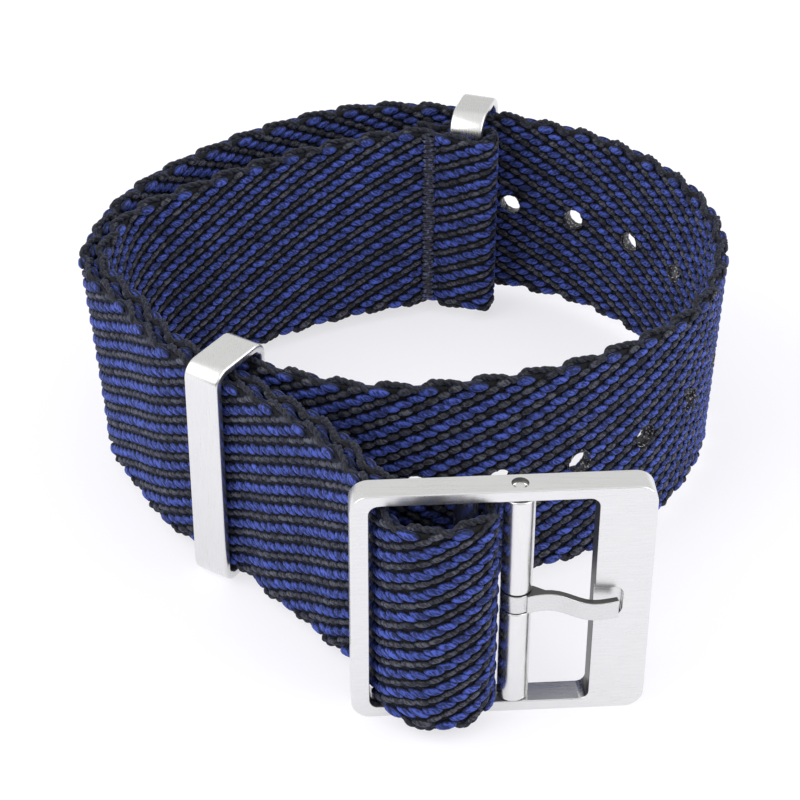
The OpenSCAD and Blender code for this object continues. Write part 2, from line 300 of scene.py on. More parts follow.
tail = ([tip] + leg(tail_start, tail_low) + leg(tail_low, right_side) + leg(right_side, ring_at)
        + leg(ring_at, back_middle) + leg(back_middle, back_left) + leg(back_left, flap_leaves))
doubled = (leg(flap_leaves, left_side) + leg(left_side, left_front)
           + leg(left_front, keeper_before) + [keeper_before] + leg(keeper_after, before_buckle)
           + leg(before_buckle, behind_bar) + [behind_bar])
fold = (leg(behind_bar, in_window) + leg(in_window, fold_front) + leg(fold_front, beside_bar)
        + arc(beside_bar, WRAP_R + WRAP_WIDER, WRAP_SWEEP, 24))
inner = []
for p in reversed(doubled):
    q = shift(p, 0, LAYER_STEP)
    inner.append((q[0], q[1], p[2] + 180))
inner_start = (inner[0][0], inner[0][1], behind_bar[2] + 180)
flap_start = (inner[-1][0], inner[-1][1], flap_leaves[2] - 180)
flap = (leg(flap_start, flap_left) + leg(flap_left, flap_mid) + leg(flap_mid, seam_front)
        + leg(seam_front, pocket_start))
sewn = ([pocket_start] + arc(pocket_turn, pocket_r, 180, 30) + [pocket_turned]
        + leg(pocket_stop, seam_behind) + [seam_behind, shift(seam_behind, END_LEN, 0)])
route = (tail + doubled + fold[1:] + leg(round_bar, inner_start) + [inner_start]
         + inner[1:-1] + flap + sewn)

NEAREST = 0.02  # points of the route that lie nearer to the one before are left out
points = [Vector((p[0], p[1], 0)) for p in route]
points = [p for i, p in enumerate(points) if i == 0 or (p - points[i - 1]).length > NEAREST]
LENGTH = sum((b - a).length for a, b in zip(points, points[1:]))
print("band length", round(LENGTH, 1), "mm in", len(points), "points")

# %% [markdown]
# ## Weaving the cloth
# The webbing is a double-faced twill. Each row of yarn shows a blue float, then a black one, and
# each next row is shifted by a quarter of the pattern, which draws the diagonal stripes. A bump
# map could draw this on a flat band, but the floats are plump and show in the outline, so each
# float is made. Geometry Nodes place one grain per float on a flat cloth, and lead it along the
# route. In the flat cloth x runs along the band, y is its width and z its face.

# %% The tree's inputs
ROW_PITCH = 0.5
ROWS = 38
PERIOD = 4.142
PHASE = 0.31
HOLE_R, HOLE_PITCH, FIRST_HOLE, HOLES = 1.0, 7.3, 16.9, 11
SECTION_LENGTH = 45.0

CLOTH_INPUTS = {
    "Start": 0.0, "End": SECTION_LENGTH, "Length": LENGTH, "Rows": ROWS, "Row pitch": ROW_PITCH,
    "Period": PERIOD, "Phase": PHASE, "Thickness": BAND_T, "Blue tilt": 1.0, "Black tilt": 19.0,
    "First hole": FIRST_HOLE, "Hole pitch": HOLE_PITCH, "Holes": HOLES, "Hole radius": HOLE_R,
    "Seed": 7,
}


def new_tree(name, inputs):
    """A tree with a named input for each size. A whole number gets an integer socket."""
    tree = bpy.data.node_groups.new(name, "GeometryNodeTree")
    face = tree.interface
    face.new_socket("Geometry", in_out="INPUT", socket_type="NodeSocketGeometry")
    face.new_socket("Geometry", in_out="OUTPUT", socket_type="NodeSocketGeometry")
    for label, value in inputs.items():
        kind = "NodeSocketInt" if isinstance(value, int) else "NodeSocketFloat"
        face.new_socket(label, in_out="INPUT", socket_type=kind).default_value = value
    graph = Graph(tree)
    source = graph.node("NodeGroupInput")
    sink = graph.node("NodeGroupOutput")
    values = {label: Value(graph, source.outputs[label]) for label in inputs}
    return graph, values, source.outputs["Geometry"], sink


def index_of(graph):
    return Value(graph, graph.node("GeometryNodeInputIndex").outputs[0])


def position(graph):
    return graph.node("GeometryNodeInputPosition").outputs[0]


def chance(graph, middle, reach, seed, name):
    """A random number that belongs to a float's name, so that sections agree where they meet."""
    made = graph.node("FunctionNodeRandomValue", {"data_type": "FLOAT"},
                      {2: middle - reach, 3: middle + reach, "ID": name, "Seed": seed})
    return Value(graph, made.outputs[1])


def store(graph, geometry, name, value, domain="POINT", kind="FLOAT"):
    made = graph.node("GeometryNodeStoreNamedAttribute", {"data_type": kind, "domain": domain},
                      {"Geometry": geometry, "Name": name, "Value": value})
    return made.outputs[0]


def stored(graph, name):
    made = graph.node("GeometryNodeInputNamedAttribute", {"data_type": "FLOAT"}, {"Name": name})
    return Value(graph, made.outputs[0])


def moved(graph, geometry, place):
    made = graph.node("GeometryNodeSetPosition", values={"Geometry": geometry, "Position": place})
    return made.outputs[0]


def joined(graph, parts):
    made = graph.node("GeometryNodeJoinGeometry")
    for part in parts:
        graph.tree.links.new(part, made.inputs[0])
    return made.outputs[0]


def circle(graph, sides, radius):
    made = graph.node("GeometryNodeCurvePrimitiveCircle", {"mode": "RADIUS"},
                      {"Resolution": sides, "Radius": radius})
    return made.outputs[0]


def row_of_points(graph, count):
    """A curve of so many points, which is then bent into a path."""
    line = graph.node("GeometryNodeCurvePrimitiveLine")
    made = graph.node("GeometryNodeResampleCurve",
                      values={"Curve": line.outputs[0], "Count": count})
    return made.outputs[0]


def tube(graph, path, sides, radius):
    made = graph.node("GeometryNodeCurveToMesh", values={
        "Curve": path, "Profile Curve": circle(graph, sides, radius), "Fill Caps": True})
    return made.outputs[0]


def finished(graph, geometry, material):
    smooth = graph.node("GeometryNodeSetShadeSmooth", values={"Geometry": geometry})
    made = graph.node("GeometryNodeSetMaterial",
                      values={"Geometry": smooth.outputs[0], "Material": material})
    return made.outputs[0]


# %% [markdown]
# The lead takes a flat cloth and gives each of its points a place in the world. The band in the
# photo doesn't stand quite upright: both sides of the loop lean, and so does the tail. Tilting
# the route would loosen the hardware, so the lean fades in away from the keeper and the buckle.
# Most of it grows from the band's top edge down to its foot, where low is 1.

# %% The lean of each stretch
RIGHT_IN, LEFT_IN, LEFT_OUT = 0.65, 1.15, 0.4
TAIL_BACK, TAIL_FORWARD = 1.15, 0.6
RUN_LEFT, RUN_FORWARD = 0.6, 0.65
BACK_BOW, FLAP_OUT, FOLD_OUT = 0.5, 1.3, 0.9
TAIL_END, FLAP_BEGIN = 60.0, 262.0  # places along the band


def lean(graph, s, x, y, z):
    low = (BAND_MID_Z + BAND_W / 2 - z) / BAND_W
    to_left = x * -1
    far = graph.step(y, 8.0, 17.0)
    right_side = graph.step(x, 17.0, 28.0)
    left_side = graph.step(to_left, 17.0, 28.0) * graph.step(y, -4.0, 6.0)
    run = graph.between(x, (-14.2, -11.0), (-6.2, -4.4)) * (s > TAIL_END) * (y < 0.0)
    tail_front = graph.between(x, (-8.0, 8.0), (18.0, 28.0)) * (s < TAIL_END)
    back = graph.between(x, (12.0, 18.0), (27.5, 30.0)) + graph.step(to_left, 12.0, 18.0)
    flap = (s > FLAP_BEGIN) * graph.between(to_left, (-3.4, 1.0), (18.0, 24.0))
    fold_foot = graph.step(y * -1, 31.8, 34.2) * graph.step(x, -0.8, 2.2)
    x = x + right_side * low * -RIGHT_IN
    x = x + left_side * (low * LEFT_IN - (1 - low) * (1 - low) * LEFT_OUT) - run * low * RUN_LEFT
    y = y + tail_front * (TAIL_BACK - low * (TAIL_BACK + TAIL_FORWARD)) - run * low * RUN_FORWARD
    y = y + far * back * BACK_BOW - far * flap * low * FLAP_OUT
    return x, y - fold_foot * low * FOLD_OUT


# %% The lead along the route
SHORTEST = 0.01  # a tangent's length is a divisor, so it stays above 0


def lead(graph, curve, cloth, material):
    flat = position(graph)
    s, v, n = graph.split(flat)
    cloth = store(graph, cloth, "flat", flat, kind="FLOAT_VECTOR")
    sample = graph.node("GeometryNodeSampleCurve", {"mode": "LENGTH", "data_type": "FLOAT"},
                        {"Curves": curve, "Length": s})
    x, y, _ = graph.split(sample.outputs["Position"])
    tx, ty, _ = graph.split(sample.outputs["Tangent"])
    size = graph.larger(graph.math("SQRT", tx * tx + ty * ty), SHORTEST)
    z = v + BAND_MID_Z
    x, y = lean(graph, s, x - n * ty / size, y + n * tx / size, z)
    led = moved(graph, cloth, graph.join(x * MM, y * MM, z * MM))
    turned = graph.node("GeometryNodeFlipFaces", values={0: led})
    return finished(graph, turned.outputs[0], material)


# %% The holes
FAR_AWAY = 1000.0


def from_hole(graph, inputs, s, v):
    """Distance from the middle of the nearest hole, and that middle's place along the band."""
    first, step, count = inputs["First hole"], inputs["Hole pitch"], inputs["Holes"]
    index = graph.math("ROUND", (s - first) / step)
    index = graph.smaller(graph.larger(index, 0), count - 1)
    middle = first + index * step
    away = graph.math("SQRT", (s - middle) * (s - middle) + v * v)
    return away + (count < 0.5) * FAR_AWAY, middle


# %% [markdown]
# A float is a plain ellipsoid: it is thickest where it lies on top and dives at both ends. The
# outermost rows are larger, because the selvedge cord arches over them and they fill its eyes.
# The black floats are plumper on the inner face and on the tail than on the outer run.

# %% The sizes of the floats, as half of length, width and height
BLACK_FLOAT = (0.72, 0.285, 0.31)
BLUE_MORE = (0.13, 0.1, 0.03)
BORDER_MORE = (0.06, 0.05, 0.03)
PLUMP_MORE = (-0.06, 0.06, 0.02)
PLUMP_FADES = (120.0, 170.0)  # places along the band

FLOAT_DEPTH = 0.31  # from the face of the band down to the middle of a black float
BLUE_RISE, BORDER_RISE = 0.06, 0.05
BLACK_ON, BLACK_UP, BORDER_OUT = 0.2, 0.12, 0.12  # steps out of the even pattern
BLUE_TURN, PLUMP_TURN = 5.0, 5.0  # degrees
LOOSE_S, LOOSE_V, LOOSE_TURN, LOOSE_SIZE = 0.06, 0.025, 2.5, 0.06  # random parts

# %% The floats
def grain(graph):
    """A closed ellipsoid of length, width and height 2 along x, y and z."""
    ball = graph.node("GeometryNodeMeshUVSphere", values={"Segments": 7, "Rings": 7, "Radius": 1.0})
    x, y, z = graph.split(position(graph))
    lying = moved(graph, ball.outputs["Mesh"], graph.join(z, x, y))
    # The height on the float is kept as rise; the yarn material uses it to paint shade at the
    # float's sides.
    height = graph.math("ABSOLUTE", graph.split(position(graph))[2])
    return store(graph, lying, "rise", height)


def floats(graph, inputs):
    start, end, length = inputs["Start"], inputs["End"], inputs["Length"]
    rows, period, seed = inputs["Rows"], inputs["Period"], inputs["Seed"]
    half = period / 2
    columns = graph.math("CEIL", (end - start) / half) + 2
    index = index_of(graph)
    face = graph.math("FLOOR", index / (rows * columns))
    rest = index % (rows * columns)
    row = rest % rows
    offset = row * period / 4 + inputs["Phase"]
    column = graph.math("FLOOR", rest / rows) + graph.math("FLOOR", (start - offset) / half)
    name = column * 97 + row + face * 50021
    blue = graph.math("ROUND", (column + face) % 2) * -1 + 1
    s = column * half + offset + chance(graph, 0, LOOSE_S, seed, name) + (1 - blue) * BLACK_ON
    v = (row - (rows - 1) / 2) * inputs["Row pitch"]
    v = v + chance(graph, 0, LOOSE_V, seed + 1, name)
    border = graph.larger(row < 0.5, row > rows - 1.5)
    v = v + (1 - blue) * BLACK_UP + border * ((v > 0.0) * 2 - 1) * BORDER_OUT
    high = inputs["Thickness"] / 2 - FLOAT_DEPTH + blue * BLUE_RISE + border * BORDER_RISE
    dots = graph.node("GeometryNodePoints", values={
        "Count": rows * columns * 2, "Position": graph.join(s, v, (1 - face * 2) * high * -1)})
    cloth = dots.outputs[0]
    for label, value in (("yarn", blue), ("name", name), ("border", border)):
        cloth = store(graph, cloth, label, value)
    s, v, n = graph.split(position(graph))
    away, _ = from_hole(graph, inputs, s, v)
    outside = graph.larger(s < start, 1 - (s < graph.smaller(end, length - 0.5)))
    outside = graph.larger(outside, away < inputs["Hole radius"] * 0.9)
    kept = graph.node("GeometryNodeDeleteGeometry", {"domain": "POINT"},
                      {"Geometry": cloth, "Selection": outside})
    blue, name, border = (stored(graph, k) for k in ("yarn", "name", "border"))
    behind = n > 0.0
    plump = graph.larger(behind, 1 - graph.step(s, *PLUMP_FADES)) * (1 - blue)
    size = [black + blue * more + border * edge + plump * fat for black, more, edge, fat
            in zip(BLACK_FLOAT, BLUE_MORE, BORDER_MORE, PLUMP_MORE)]
    grow = chance(graph, 1, LOOSE_SIZE, seed + 2, name)
    turn = inputs["Blue tilt"] - behind * BLUE_TURN
    turn = inputs["Black tilt"] - plump * PLUMP_TURN + blue * (turn - inputs["Black tilt"])
    turn = (turn + chance(graph, 0, LOOSE_TURN, seed + 3, name)) * math.radians(1)
    made = graph.node("GeometryNodeInstanceOnPoints", values={
        "Points": kept.outputs[0], "Instance": grain(graph),
        "Rotation": graph.join(0.0, 0.0, turn),
        "Scale": graph.join(size[0] * grow, size[1] * grow, size[2])})
    return store(graph, made.outputs[0], "tone", chance(graph, 0.5, 0.5, seed + 4, name),
                 domain="INSTANCE")


# %% [markdown]
# The selvedge is one cord of two plies. It passes over the edge in a long arc, from one face to
# the other, and returns through the cloth, once per pattern: a skewed coil along the edge. A row
# of points is bent into that path, once for each ply.

# %% The selvedge cords
CORD_END = 0.3  # the cords stop this far inside both ends of the band
CORD_STEP = 0.14
CORD_OUT = 9.66  # from the middle of the band to the middle of a cord
COIL_N, COIL_V, SKEW = 0.44, 0.22, 0.75
TWIST, PLY_R, PLY_OFFSET = 1.5, 0.185, 0.115
CREST_TOP, CREST_FOOT = 0.37, 0.88  # shares of the pattern
# The cords get a low fixed rise, so the yarn material paints them darker as painted shade.
CORD_TONE, CORD_PAINTED_SHADE_RISE = 0.05, 0.46


def selvedge(graph, inputs, edge):
    start = graph.larger(inputs["Start"], CORD_END)
    end = graph.smaller(inputs["End"], inputs["Length"] - CORD_END)
    period = inputs["Period"]
    crest = inputs["Phase"] + period * (CREST_TOP if edge > 0 else CREST_FOOT)
    plies = []
    for ply in (0, 1):
        count = graph.math("ROUND", (end - start) / CORD_STEP)
        s = start + index_of(graph) / count * (end - start)
        sway = (s - crest) / period * (2 * math.pi * edge)
        coil = sway + graph.math("COSINE", sway) * SKEW
        twist = s * (2 * math.pi / TWIST) + ply * math.pi
        n = graph.math("COSINE", coil) * COIL_N + graph.math("COSINE", twist) * PLY_OFFSET
        v = graph.math("SINE", coil) * COIL_V + CORD_OUT + graph.math("SINE", twist) * PLY_OFFSET
        path = moved(graph, row_of_points(graph, count + 1), graph.join(s, v * edge, n))
        plies.append(store(graph, tube(graph, path, 7, PLY_R), "tone", CORD_TONE))
    # The fixed rise darkens the cords as painted shade.
    return store(graph, store(graph, joined(graph, plies), "yarn", 0.0), "rise", CORD_PAINTED_SHADE_RISE)


# %% [markdown]
# Under the floats lies a ground, so that no light passes between them. It is near-black, darker
# than any yarn, as painted shade in the gaps between the floats. The punch melts the yarns, so
# whatever would stand in a hole is pushed out to its ragged rim. The ring presses the pocket a
# little thinner.

# %% The ground
GROUND_THINNER, GROUND_NARROWER, GROUND_STEP = 0.62, 0.8, 0.5


def ground(graph, inputs):
    start, end, thick = inputs["Start"], inputs["End"], inputs["Thickness"] - GROUND_THINNER
    sheet = graph.node("GeometryNodeMeshGrid", values={
        "Size X": end - start, "Size Y": BAND_W - GROUND_NARROWER,
        "Vertices X": graph.math("ROUND", (end - start) / GROUND_STEP) + 1, "Vertices Y": 40})
    s, v, _ = graph.split(position(graph))
    put = moved(graph, sheet.outputs["Mesh"], graph.join(s + (start + end) / 2, v, thick * -0.5))
    s, v, _ = graph.split(position(graph))
    away, _ = from_hole(graph, inputs, s, v)
    open_sheet = graph.node("GeometryNodeDeleteGeometry", {"domain": "FACE"},
                            {"Geometry": put, "Selection": away < inputs["Hole radius"]})
    raised = graph.node("GeometryNodeExtrudeMesh", {"mode": "FACES"}, {
        "Mesh": open_sheet.outputs[0], "Offset": graph.join(0.0, 0.0, thick),
        "Offset Scale": 1.0, "Individual": False})
    under = graph.node("GeometryNodeFlipFaces", values={0: open_sheet.outputs[0]})
    made = graph.node("GeometryNodeMergeByDistance", values={
        "Geometry": joined(graph, [raised.outputs["Mesh"], under.outputs[0]]), "Distance": 0.001})
    # The ground is marked with yarn -1, so the yarn material gives it the near-black painted shade.
    return store(graph, store(graph, made.outputs[0], "yarn", -1.0), "tone", 0.0)


# %% The whole cloth
END_MARGIN = 0.02  # the cloth stays this far inside both ends of the route
PRESSED_FROM, PRESSED_TO, PRESSED = 19, 15, 0.15  # places from the sewn end


def weave_tree(material):
    graph, inputs, curve, sink = new_tree("weave", CLOTH_INPUTS)
    length = inputs["Length"]
    parts = [floats(graph, inputs), ground(graph, inputs)]
    parts += [selvedge(graph, inputs, edge) for edge in (1, -1)]
    real = graph.node("GeometryNodeRealizeInstances", values={0: joined(graph, parts)})
    place = position(graph)
    s, v, n = graph.split(place)
    away, middle = from_hole(graph, inputs, s, v)
    edge = inputs["Hole radius"] * (0.9 + 0.24 * graph.noise(place, 1.7))
    push = graph.larger(edge / graph.larger(away, 0.05), 1.0)
    s = graph.larger(middle + (s - middle) * push, END_MARGIN)
    s = graph.smaller(s, length - END_MARGIN)
    pressed = 1 - graph.step(s, length - PRESSED_FROM, length - PRESSED_TO) * PRESSED
    opened = moved(graph, real.outputs[0], graph.join(s, v * push, n * pressed))
    graph.tree.links.new(lead(graph, curve, opened, material), sink.inputs[0])
    return graph.tree


# %% [markdown]
# The melted nylon has set as a dark glassy lip on both faces of each hole. One uneven ring, as
# tall as the band is thick, gives both lips and the wall between them.

# %% The rims of the holes
LIP_WIDTH, LIP_HEIGHT, LIP_OUT = 0.11, 0.62, 0.08  # half of its width and height


def rims_tree(material):
    graph, inputs, curve, sink = new_tree("rims", CLOTH_INPUTS)
    ring = circle(graph, 36, inputs["Hole radius"] + LIP_OUT)
    x, y, z = graph.split(position(graph))
    shaped = moved(graph, circle(graph, 12, 1.0), graph.join(x * LIP_WIDTH, y * LIP_HEIGHT, z))
    loop = graph.node("GeometryNodeCurveToMesh", values={"Curve": ring, "Profile Curve": shaped})
    along = inputs["First hole"] + index_of(graph) * inputs["Hole pitch"]
    line = graph.node("GeometryNodePoints", values={
        "Count": inputs["Holes"], "Position": graph.join(along, 0.0, 0.0)})
    put = graph.node("GeometryNodeInstanceOnPoints", values={
        "Points": line.outputs[0], "Instance": loop.outputs[0]})
    real = graph.node("GeometryNodeRealizeInstances", values={0: put.outputs[0]})
    place = position(graph)
    s, v, n = graph.split(place)
    away, middle = from_hole(graph, inputs, s, v)
    wide = 0.82 + 0.36 * graph.noise(place, 1.9, 4.0)
    tall = 0.7 + 0.6 * graph.noise(place, 2.6, 4.0)
    uneven = moved(graph, real.outputs[0],
                   graph.join(middle + (s - middle) * wide, v * wide, n * tall))
    graph.tree.links.new(lead(graph, curve, uneven, material), sink.inputs[0])
    return graph.tree


# %% [markdown]
# ## Materials
# The yarn is nylon: matt black and navy blue, with fine filaments that are twisted. The filaments
# are far too thin to model, so they are a bump that runs at an angle to each float. A plain
# colour would look like plastic, so each float also has its own tone. Each float's colour is
# also painted darker towards its sides, where it is lowest, as painted shade between the floats.

# %% A new material
def new_material(name):
    made = bpy.data.materials.new(name)
    made.use_nodes = True
    made.node_tree.nodes.clear()
    graph = Graph(made.node_tree)
    surface = graph.node("ShaderNodeBsdfPrincipled")
    output = graph.node("ShaderNodeOutputMaterial")
    graph.tree.links.new(surface.outputs[0], output.inputs[0])
    return made, graph, surface


def mix_colour(graph, factor, a, b, blend="MIX"):
    made = graph.node("ShaderNodeMix", {"data_type": "RGBA", "blend_type": blend},
                      {0: factor, 6: a, 7: b})
    return made.outputs[2]


def attribute(graph, name, output="Fac"):
    return graph.node("ShaderNodeAttribute", {"attribute_name": name}).outputs[output]


def object_place(graph):
    return graph.node("ShaderNodeTexCoord").outputs["Object"]


def bump(graph, surface, height, strength, distance):
    made = graph.node("ShaderNodeBump", values={
        "Strength": strength, "Distance": distance, "Height": height})
    graph.feed(surface.inputs["Normal"], made.outputs[0])


# %% The woven yarn
DARK_BLUE, LIGHT_BLUE = (0.024, 0.042, 0.196, 1), (0.042, 0.068, 0.31, 1)
DARK_BLACK, LIGHT_BLACK = (0.020, 0.021, 0.028, 1), (0.062, 0.064, 0.078, 1)
# A near-black for the ground: painted shade in the gaps between the floats.
PAINTED_GAP_SHADE = (0.002, 0.002, 0.003, 1)


def yarn_material():
    made, graph, surface = new_material("woven_yarn")
    flat = attribute(graph, "flat", "Vector")
    s, v, n = graph.split(flat)
    yarn = Value(graph, attribute(graph, "yarn"))
    tone = Value(graph, attribute(graph, "tone"))
    across, along = s * 0.64 + v * 0.77, s * 0.77 - v * 0.64
    strand = graph.noise(graph.join(across * 6, along * 1.6, n * 6), 1.0, 1.0)
    strand = graph.step(strand, 0.38, 0.62)
    fine = graph.noise(flat, 9.0, 3.0)
    blue = mix_colour(graph, tone, DARK_BLUE, LIGHT_BLUE)
    black = mix_colour(graph, tone, DARK_BLACK, LIGHT_BLACK)
    colour = mix_colour(graph, graph.larger(yarn, 0), black, blue)
    # The ground gets the near-black painted shade.
    colour = mix_colour(graph, graph.larger(yarn * -1, 0), colour, PAINTED_GAP_SHADE)
    # Filament streaks, and painted shade that darkens each float towards its sides, where its rise
    # is low.
    rise = Value(graph, attribute(graph, "rise"))
    streaks_and_side_shade = (0.18 + strand * 1.2 + fine * 0.3) * (0.05 + graph.step(rise, 0.05, 0.72) * 0.95)
    lit = mix_colour(graph, 1.0, colour, graph.join(streaks_and_side_shade, streaks_and_side_shade, streaks_and_side_shade), "MULTIPLY")
    graph.feed(surface.inputs["Base Color"], lit)
    graph.feed(surface.inputs["Roughness"], 0.55 + fine * 0.25)
    surface.inputs["Specular IOR Level"].default_value = 0.25
    surface.inputs["Sheen Weight"].default_value = 0.18
    surface.inputs["Sheen Roughness"].default_value = 0.4
    surface.inputs["Sheen Tint"].default_value = (0.32, 0.42, 1.0, 1)
    bump(graph, surface, strand + fine * 0.6, 0.7, 0.00005)
    return made


# %% The melted rims and the thread
def melted_material():
    made, graph, surface = new_material("melted_rim")
    place = object_place(graph)
    lumps = graph.noise(place, 2600.0, 3.0)
    # Painted glints: bright specks put into the colour of the rims.
    painted_rim_glints = graph.step(graph.noise(place, 4200.0, 1.0), 0.58, 0.68)
    colour = mix_colour(graph, painted_rim_glints, (0.006, 0.006, 0.012, 1), (0.3, 0.3, 0.31, 1))
    graph.feed(surface.inputs["Base Color"], colour)
    graph.feed(surface.inputs["Roughness"], 0.2 + lumps * 0.35)
    bump(graph, surface, lumps, 0.8, 0.0001)
    return made


def thread_material():
    made, graph, surface = new_material("sewing_thread")
    place = object_place(graph)
    x, _, z = graph.split(place)
    ply = graph.math("SINE", x * 21000 + z * 26000) * 0.5 + 0.5
    fuzz = graph.noise(place, 5200.0)
    # Painted glints: bright specks put into the colour of the thread.
    painted_thread_glints = graph.step(graph.noise(place, 3100.0, 1.0), 0.5, 0.68)
    colour = mix_colour(graph, painted_thread_glints, (0.008, 0.009, 0.02, 1), (0.09, 0.10, 0.2, 1))
    graph.feed(surface.inputs["Base Color"], colour)
    graph.feed(surface.inputs["Roughness"], 0.4 + fuzz * 0.3)
    bump(graph, surface, ply + fuzz, 0.6, 0.00003)
    return made


# %% [markdown]
# Brushed steel has fine scratches in one direction. They show as thin light and dark lines and
# blur the reflection across them. The noise is drawn out along them, and it changes the
# roughness, the colour a little, and the bump.

# %% Brushed steel
def steel_material(name, turn, stretch, colour=0.8, rough=0.27):
    """Steel brushed along the axis that has a small number in stretch, on a turned piece."""
    made, graph, surface = new_material(name)
    place = object_place(graph)
    laid = graph.node("ShaderNodeMapping", values={
        "Vector": place, "Rotation": (0.0, 0.0, math.radians(-turn)), "Scale": stretch})
    lines = graph.noise(laid.outputs[0], 1.0, 4.0)
    broad = graph.noise(place, 260.0, 3.0)
    tones = [(colour * k, colour * k, colour * k * 0.99, 1) for k in (0.86, 1.05)]
    tone = mix_colour(graph, lines * 0.75 + broad * 0.25, tones[0], tones[1])
    graph.feed(surface.inputs["Base Color"], tone)
    surface.inputs["Metallic"].default_value = 1.0
    graph.feed(surface.inputs["Roughness"], rough - 0.05 + lines * 0.1 + broad * 0.03)
    bump(graph, surface, lines, 0.06, 0.00001)
    return made


TONGUE_LIFT = 8
WEBBING = yarn_material()
RIM = melted_material()
THREAD = thread_material()
FRAME_STEEL = steel_material("frame_steel", BUCKLE[2], (260, 6000, 7000))
TUBE_STEEL = steel_material("tube_steel", BUCKLE[2], (14000, 14000, 500), 0.82, 0.24)
TONGUE_STEEL = steel_material("tongue_steel", BUCKLE[2] - TONGUE_LIFT, (900, 9000, 9000),
                              0.72, 0.25)
# A dark steel, painted shade for the bores, the right window, the notch and the tongue's narrow
# faces.
PAINTED_SHADE_STEEL = steel_material("painted_shade_steel", 0, (2500, 2500, 2500), 0.13, 0.4)
KEEPER_STEEL = steel_material("keeper_steel", keeper_at[2] + KEEPER_SKEW, (12000, 900, 500))
RING_STEEL = steel_material("ring_steel", ring_at[2] - 180, (15000, 500, 500), 0.72, 0.26)

# %% [markdown]
# ## The band
# The cloth is made in sections, because one mesh for the whole band would hold too many faces.
# All sections come from one tree, and only the inputs Start, End and Holes differ.

# %% Weave the sections
def make_route():
    data = bpy.data.curves.new("route", "CURVE")
    data.dimensions = "3D"
    spline = data.splines.new("POLY")
    spline.points.add(len(points) - 1)
    for point, p in zip(spline.points, points):
        point.co = (p.x, p.y, 0.0, 1.0)
    return linked("route", data)


def apply_tree(source, tree, name, values):
    """Runs a tree on an object and returns the result as a plain mesh object."""
    modifier = source.modifiers.new("tree", "NODES")
    modifier.node_group = tree
    for item in tree.interface.items_tree:
        if item.in_out == "INPUT" and item.name in values:
            modifier[item.identifier] = values[item.name]
    bpy.context.view_layer.update()
    evaluated = source.evaluated_get(bpy.context.evaluated_depsgraph_get())
    mesh = bpy.data.meshes.new_from_object(evaluated)
    source.modifiers.remove(modifier)
    mesh.name = name
    print(name, sum(len(f.vertices) - 2 for f in mesh.polygons), "triangles")
    return linked(name, mesh)


def dress(made, body, slot, *nodes):
    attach(made, body)
    if nodes:
        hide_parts(*nodes)


route_object = make_route()
weave = weave_tree(WEBBING)
NAMES = ["webbing_tail", "webbing_right", "webbing_back", "webbing_left", "webbing_fold",
         "webbing_inner", "webbing_flap"]
PUNCHED_TO = FIRST_HOLE + HOLES * HOLE_PITCH
for i, name in enumerate(NAMES):
    low = i * SECTION_LENGTH
    high = LENGTH if name == NAMES[-1] else low + SECTION_LENGTH
    section = apply_tree(route_object, weave, name, {
        "Start": low, "End": high, "Length": LENGTH, "Holes": HOLES if low < PUNCHED_TO else 0})
    dress(section, "band", "webbing", *(["woven_band"] if i == 0 else []))

rims = apply_tree(route_object, rims_tree(RIM), "hole_rims", {"Length": LENGTH})
dress(rims, "band", "webbing")

# %% [markdown]
# ## The seam
# The CAD model has nine plain stitches, each over both faces of the doubled band. The real seam
# is a dense zigzag of thick thread, so one thread is led in a zigzag over the front face and the
# back face. It dips into the cloth at both ends of each stitch.

# %% Sew the seam
SEAM_INPUTS = {
    "Stitches": 72, "Pitch": 0.262, "Width": 1.35, "Thread": 0.16,
    "Depth": LAYER_STEP + BAND_T, "Place": 300.0,
}
PER_STITCH = 6  # points
LIFT, DIP, LOOSE = 0.12, 0.3, 0.5


def seam_tree(material):
    graph, inputs, _, sink = new_tree("seam", SEAM_INPUTS)
    count = inputs["Stitches"]
    faces = []
    for face in (-1, 1):
        at = index_of(graph) / PER_STITCH
        swing = graph.math("PINGPONG", at, 1.0) * 2 - 1
        dip = graph.math("POWER", graph.math("ABSOLUTE", swing), 6.0) * DIP
        out = (inputs["Depth"] / 2 + LIFT - dip) * face
        high = (at - count / 2) * inputs["Pitch"]
        wander = graph.noise(graph.join(at * 0.9, face * 9.0, 0.0), 1.0) - 0.5
        reach = swing * inputs["Width"] / 2 + wander * LOOSE
        path = moved(graph, row_of_points(graph, count * PER_STITCH + 1),
                     graph.join(reach, out, high + wander * swing * 0.3))
        faces.append(tube(graph, path, 8, inputs["Thread"]))
    x, y, z = graph.split(position(graph))
    turn = math.radians(SEAM_TURN)
    world_x = x * math.cos(turn) - y * math.sin(turn) + seam_mid[0]
    world_y = x * math.sin(turn) + y * math.cos(turn) + seam_mid[1]
    world_z = z + BAND_MID_Z
    world_x, world_y = lean(graph, inputs["Place"], world_x, world_y, world_z)
    put = moved(graph, joined(graph, faces),
                graph.join(world_x * MM, world_y * MM, world_z * MM))
    graph.tree.links.new(finished(graph, put, material), sink.inputs[0])
    return graph.tree


seam = apply_tree(route_object, seam_tree(THREAD), "seam_thread", {})
dress(seam, "band", "thread", "loop_stitching")

# %% [markdown]
# ## The keeper and the ring
# Both are a flat steel strip bent into a loop round the band. A strip's edges are round all
# along, so its section, a rectangle with round corners, is swept along the loop.

# %% Meshes from faces
def solid_mesh(name, verts, faces, material):
    """A smooth piece from corners and faces."""
    mesh = bpy.data.meshes.new(name)
    mesh.from_pydata(verts, [], faces)
    mesh.shade_smooth()
    mesh.materials.append(material)
    print(name, len(faces), "faces")
    return linked(name, mesh)


# %% Sweep a strip along a loop
STRIP_EDGE = 0.32  # radius of a strip's edges, as a share of its thickness


